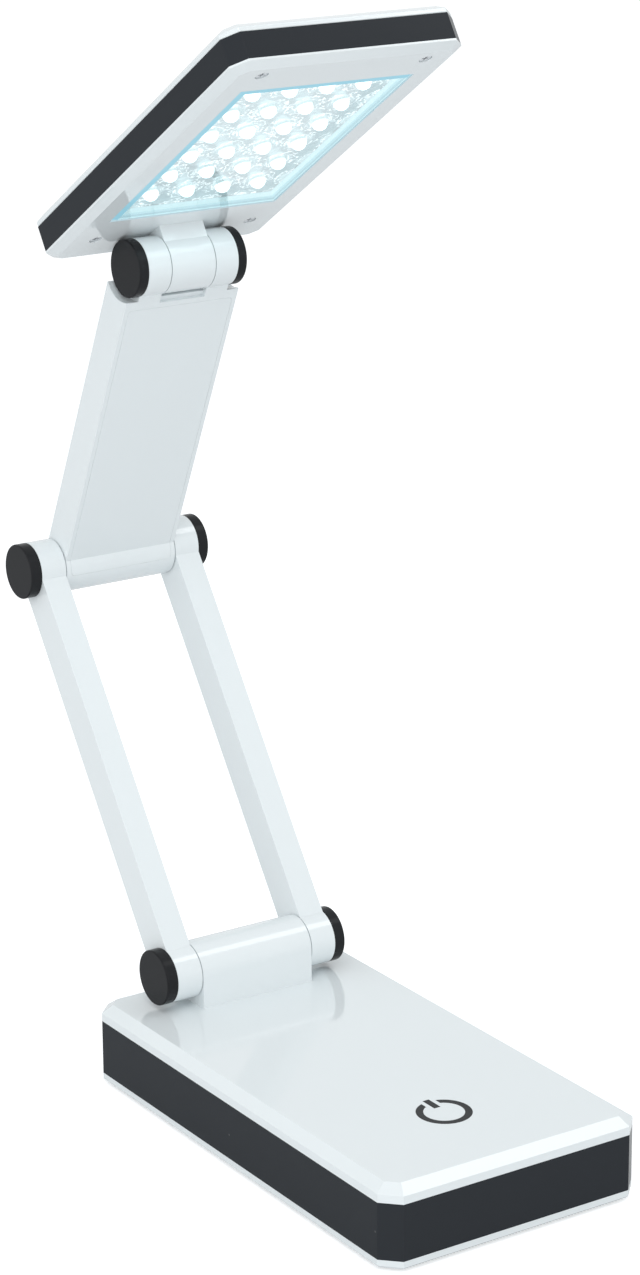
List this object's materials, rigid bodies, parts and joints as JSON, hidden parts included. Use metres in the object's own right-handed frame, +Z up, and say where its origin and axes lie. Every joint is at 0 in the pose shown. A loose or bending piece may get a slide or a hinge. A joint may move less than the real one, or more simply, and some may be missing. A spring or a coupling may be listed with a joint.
{
  "type": "folding led desk lamp",
  "caption": "Battery desk lamp with a flat base, slim lower rails, a boxed upper arm and a flat light head that fold up over the base; touch switch with a power mark.",
  "frame": {"origin": "on the plane that the feet stand on, at the middle of the lamp's width and depth as it stands with its arms raised", "axes": "+Z up, +X along the hinge axes, -Y towards the front edge of the base"},
  "size_m": [0.085, 0.2202, 0.3173],
  "materials": {
    "white_shell": "satin white, cool",
    "dark_band": "satin dark grey",
    "black_cap": "satin black",
    "printed_mark": "matte dark grey",
    "contact_metal": "nickel plated",
    "circuit_board": "green solder mask",
    "black_parts": "matte black",
    "battery_sleeve": "satin sleeve",
    "screw_steel": "zinc plated",
    "axle_steel": "turned",
    "friction_washer": "plain fibre",
    "foot_rubber": "matte",
    "wire_insulation": "smooth",
    "clear_pane": "clear, faintly blue",
    "mirror_tray": "metallised",
    "led_lens": "clear epoxy"
  },
  "bodies": {
    "base": {"base_bottom_cover": "white_shell", "base_side_band": "dark_band", "base_top_cover": "white_shell", "power_mark": "printed_mark", "touch_spring": "contact_metal", "control_board": "circuit_board", "board_parts": "black_parts", "power_socket": "black_parts", "battery_cells": "battery_sleeve", "battery_contacts": "contact_metal", "battery_springs": "contact_metal", "base_screws": "screw_steel", "rubber_feet": "foot_rubber", "base_wires": "wire_insulation"},
    "battery_door": {"battery_door": "white_shell"},
    "base_axle": {"base_axle": "axle_steel", "base_axle_nuts": "axle_steel", "base_washers": "friction_washer"},
    "lower_arm": {"left_rail": "white_shell", "right_rail": "white_shell", "left_rail_cover": "white_shell", "right_rail_cover": "white_shell", "base_hinge_caps": "black_cap", "elbow_caps": "black_cap", "lower_arm_wires": "wire_insulation"},
    "elbow_axle": {"elbow_axle": "axle_steel", "elbow_axle_nuts": "axle_steel", "elbow_washers": "friction_washer"},
    "upper_arm": {"upper_arm_housing": "white_shell", "upper_arm_cover": "white_shell", "upper_arm_screws": "screw_steel", "neck_caps": "black_cap", "upper_arm_wires": "wire_insulation"},
    "neck_axle": {"neck_axle": "axle_steel", "neck_axle_nuts": "axle_steel", "neck_washers": "friction_washer"},
    "head": {"head_front_cover": "white_shell", "head_side_band": "dark_band", "head_back_cover": "white_shell", "window_pane": "clear_pane", "reflector_tray": "mirror_tray", "led_board": "circuit_board", "leds": "led_lens", "led_resistors": "black_parts", "head_screws": "screw_steel", "head_wires": "wire_insulation"}
  },
  "joints": [
    {"name": "lamp_fold", "type": "hinge", "parent": "base", "child": "base_axle", "pos_m": [0, 0.02723, 0.0346], "axis": [1, 0, 0], "range_deg": [0, 125.2]},
    {"name": "base_tilt", "type": "hinge", "parent": "base_axle", "child": "lower_arm", "pos_m": [0, 0.02723, 0.0346], "axis": [-1, 0, 0], "range_deg": [-60, 10]},
    {"name": "elbow_fold", "type": "hinge", "parent": "lower_arm", "child": "elbow_axle", "pos_m": [0, 0.10177, 0.14026], "axis": [1, 0, 0], "range_deg": [-240, 1]},
    {"name": "elbow_tilt", "type": "hinge", "parent": "elbow_axle", "child": "upper_arm", "pos_m": [0, 0.10177, 0.14026], "axis": [1, 0, 0], "range_deg": [-60, 20]},
    {"name": "neck_fold", "type": "hinge", "parent": "upper_arm", "child": "neck_axle", "pos_m": [0, 0.05681, 0.23845], "axis": [1, 0, 0], "range_deg": [-1, 148]},
    {"name": "neck_tilt", "type": "hinge", "parent": "neck_axle", "child": "head", "pos_m": [0, 0.05681, 0.23845], "axis": [-1, 0, 0], "range_deg": [-60, 30]},
    {"name": "door_slide", "type": "slide", "parent": "base", "child": "battery_door", "axis": [0, 1, 0], "range_m": [0, 0.065]}
  ],
  "couplings": [
    {"joint": "elbow_fold", "follows": "lamp_fold", "ratio": -1.9153},
    {"joint": "neck_fold", "follows": "lamp_fold", "ratio": 1.1773}
  ]
}
